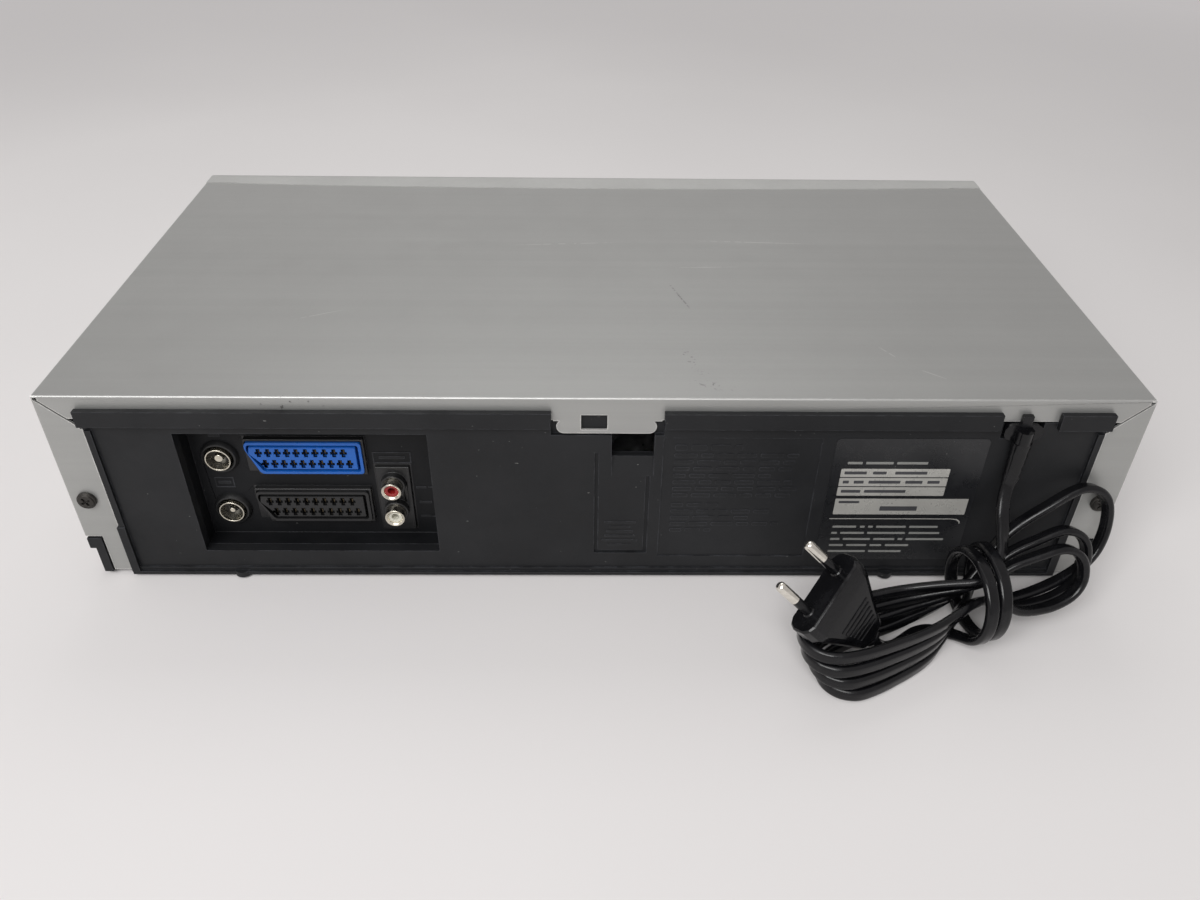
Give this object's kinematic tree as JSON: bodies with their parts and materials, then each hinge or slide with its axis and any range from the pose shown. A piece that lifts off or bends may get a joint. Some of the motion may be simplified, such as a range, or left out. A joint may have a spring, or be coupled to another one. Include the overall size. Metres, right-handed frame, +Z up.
{
  "type": "video cassette recorder",
  "caption": "Home video cassette recorder with a front tape flap, rear audio, video and aerial sockets, tape deck inside and a tied mains cord.",
  "frame": {"origin": "middle of the body's underside, on the surface that the feet stand on", "axes": "+Z up, front with the tape flap towards -Y, rear sockets towards +Y, +X to the right seen from the front"},
  "size_m": [0.43, 0.3084, 0.092],
  "materials": {
    "cover_paint": "satin grey paint with a fine metallic look",
    "bezel_plastic": "silver-grey painted moulding",
    "chassis_plastic": "black moulding, fine texture",
    "plate_zinc": "zinc-plated sheet",
    "window_dark": "smoked window",
    "tube_glass": "fluorescent display tube",
    "board_green": "solder-masked circuit board",
    "board_brown": "paper-base circuit board",
    "switch_black": "moulded switch body",
    "button_silver": "silver button cap",
    "button_red": "red button cap",
    "socket_nickel": "nickel plating, warm",
    "socket_blue": "blue moulding",
    "socket_black": "black moulding",
    "contact_gold": "plated contact",
    "insert_red": "red moulding",
    "insert_white": "white moulding",
    "label_film": "printed black film with silver fields",
    "foot_rubber": "soft foot",
    "screw_black": "blackened steel",
    "cord_rubber": "black flexible cord and mouldings",
    "pin_nickel": "nickel-plated pin",
    "can_tin": "tinned sheet can",
    "core_iron": "varnished core and winding",
    "drum_alloy": "turned alloy",
    "motor_steel": "steel",
    "gear_nylon": "natural nylon",
    "slider_plastic": "dark moulding",
    "roller_rubber": "rubber roller"
  },
  "bodies": {
    "case": {"top_cover": "cover_paint", "chassis_frame": "chassis_plastic", "bottom_plate": "plate_zinc", "front_bezel": "bezel_plastic", "display_window": "window_dark", "display_tube": "tube_glass", "front_board": "board_green", "button_switches": "switch_black", "front_jacks": "socket_nickel", "feet": "foot_rubber", "cover_screws": "screw_black", "tuner_can": "can_tin", "socket_bay": "chassis_plastic", "aerial_sockets": "socket_nickel", "scart_blue": "socket_blue", "scart_black": "socket_black", "scart_contacts": "contact_gold", "audio_jack_block": "socket_black", "audio_jack_rings": "socket_nickel", "audio_insert_red": "insert_red", "audio_insert_white": "insert_white", "rating_label": "label_film", "strain_relief": "cord_rubber", "power_cord_lead": "cord_rubber", "power_cord_hank": "cord_rubber", "power_cord_tail": "cord_rubber", "mains_plug": "cord_rubber", "plug_pins": "pin_nickel", "main_board": "board_green", "power_board": "board_brown", "transformer": "core_iron", "heat_sink": "drum_alloy", "deck_plate": "plate_zinc", "lower_drum": "drum_alloy", "capstan_motor": "motor_steel", "loading_motor": "motor_steel", "basket_frame": "plate_zinc"},
    "flap": {"cassette_flap": "bezel_plastic"},
    "door": {"jack_door": "bezel_plastic"},
    "slider": {"carriage_slider": "slider_plastic"},
    "basket": {"cassette_basket": "plate_zinc"},
    "drum": {"upper_drum": "drum_alloy"},
    "flywheel": {"capstan_rotor": "motor_steel"},
    "pinch": {"pinch_arm": "plate_zinc"},
    "roller": {"pinch_roller": "roller_rubber"},
    "supply": {"supply_reel": "gear_nylon"},
    "takeup": {"takeup_reel": "gear_nylon"},
    "pinion": {"loading_pinion": "gear_nylon"},
    "cam": {"cam_gear": "gear_nylon"},
    "supply_post": {"supply_guide": "drum_alloy"},
    "takeup_post": {"takeup_guide": "drum_alloy"},
    "power_key": {"power_button": "button_silver"},
    "eject_key": {"eject_button": "button_silver"},
    "rewind_key": {"rewind_button": "button_silver"},
    "play_key": {"play_button": "button_silver"},
    "fast_forward_key": {"fast_forward_button": "button_silver"},
    "stop_key": {"stop_button": "button_silver"},
    "record_key": {"record_button": "button_red"},
    "channel_up_key": {"channel_up_button": "button_silver"},
    "channel_down_key": {"channel_down_button": "button_silver"}
  },
  "joints": [
    {"name": "flap_hinge", "type": "hinge", "parent": "case", "child": "flap", "pos_m": [0, -0.1135, 0.0775], "axis": [1, 0, 0], "range_deg": [0, 86], "stiffness_Nm_per_rad": 0.01, "springref_deg": -20.05},
    {"name": "door_hinge", "type": "hinge", "parent": "case", "child": "door", "pos_m": [-0.1715, -0.117, 0.0136], "axis": [1, 0, 0], "range_deg": [0, 95]},
    {"name": "power_press", "type": "slide", "parent": "case", "child": "power_key", "axis": [0, 1, 0], "range_m": [0, 0.001], "stiffness_N_per_m": 300, "springref_m": -0.0005},
    {"name": "eject_press", "type": "slide", "parent": "case", "child": "eject_key", "axis": [0, 1, 0], "range_m": [0, 0.001], "stiffness_N_per_m": 300, "springref_m": -0.0005},
    {"name": "rewind_press", "type": "slide", "parent": "case", "child": "rewind_key", "axis": [0, 1, 0], "range_m": [0, 0.001], "stiffness_N_per_m": 300, "springref_m": -0.0005},
    {"name": "play_press", "type": "slide", "parent": "case", "child": "play_key", "axis": [0, 1, 0], "range_m": [0, 0.001], "stiffness_N_per_m": 300, "springref_m": -0.0005},
    {"name": "fast_forward_press", "type": "slide", "parent": "case", "child": "fast_forward_key", "axis": [0, 1, 0], "range_m": [0, 0.001], "stiffness_N_per_m": 300, "springref_m": -0.0005},
    {"name": "stop_press", "type": "slide", "parent": "case", "child": "stop_key", "axis": [0, 1, 0], "range_m": [0, 0.001], "stiffness_N_per_m": 300, "springref_m": -0.0005},
    {"name": "record_press", "type": "slide", "parent": "case", "child": "record_key", "axis": [0, 1, 0], "range_m": [0, 0.001], "stiffness_N_per_m": 300, "springref_m": -0.0005},
    {"name": "channel_up_press", "type": "slide", "parent": "case", "child": "channel_up_key", "axis": [0, 1, 0], "range_m": [0, 0.001], "stiffness_N_per_m": 300, "springref_m": -0.0005},
    {"name": "channel_down_press", "type": "slide", "parent": "case", "child": "channel_down_key", "axis": [0, 1, 0], "range_m": [0, 0.001], "stiffness_N_per_m": 300, "springref_m": -0.0005},
    {"name": "carriage_in", "type": "slide", "parent": "case", "child": "slider", "axis": [0, 1, 0], "range_m": [0, 0.06]},
    {"name": "basket_drop", "type": "slide", "parent": "slider", "child": "basket", "axis": [0, 0, -1], "range_m": [0, 0.02]},
    {"name": "drum_spin", "type": "hinge", "parent": "case", "child": "drum", "pos_m": [0, 0.08, 0.025], "axis": [0.0872, 0, 0.9962], "continuous": true},
    {"name": "capstan_spin", "type": "hinge", "parent": "case", "child": "flywheel", "pos_m": [0.058, 0.045, 0], "axis": [0, 0, 1], "continuous": true},
    {"name": "supply_spin", "type": "hinge", "parent": "case", "child": "supply", "pos_m": [-0.046, -0.01, 0], "axis": [0, 0, 1], "continuous": true},
    {"name": "takeup_spin", "type": "hinge", "parent": "case", "child": "takeup", "pos_m": [0.046, -0.01, 0], "axis": [0, 0, 1], "continuous": true},
    {"name": "cam_turn", "type": "hinge", "parent": "case", "child": "cam", "pos_m": [-0.07, 0.062, 0], "axis": [0, 0, 1], "range_deg": [0, 180]},
    {"name": "pinion_turn", "type": "hinge", "parent": "case", "child": "pinion", "pos_m": [-0.07, 0.088, 0], "axis": [0, 0, 1], "range_deg": [-600, 0]},
    {"name": "supply_post_travel", "type": "slide", "parent": "case", "child": "supply_post", "axis": [-0.0948, 0.9955, 0], "range_m": [0, 0.0422]},
    {"name": "takeup_post_travel", "type": "slide", "parent": "case", "child": "takeup_post", "axis": [0.0948, 0.9955, 0], "range_m": [0, 0.0422]},
    {"name": "pinch_swing", "type": "hinge", "parent": "case", "child": "pinch", "pos_m": [0.084, 0.046, 0], "axis": [0, 0, 1], "range_deg": [0, 30]},
    {"name": "roller_spin", "type": "hinge", "parent": "pinch", "child": "roller", "pos_m": [0.0685, 0.06015, 0], "axis": [0, 0, 1], "continuous": true}
  ],
  "couplings": [
    {"joint": "pinion_turn", "follows": "cam_turn", "ratio": -3.3333},
    {"joint": "supply_post_travel", "follows": "cam_turn", "m_per_rad": 0.01343},
    {"joint": "takeup_post_travel", "follows": "cam_turn", "m_per_rad": 0.01343},
    {"joint": "pinch_swing", "follows": "cam_turn", "ratio": 0.1666}
  ]
}
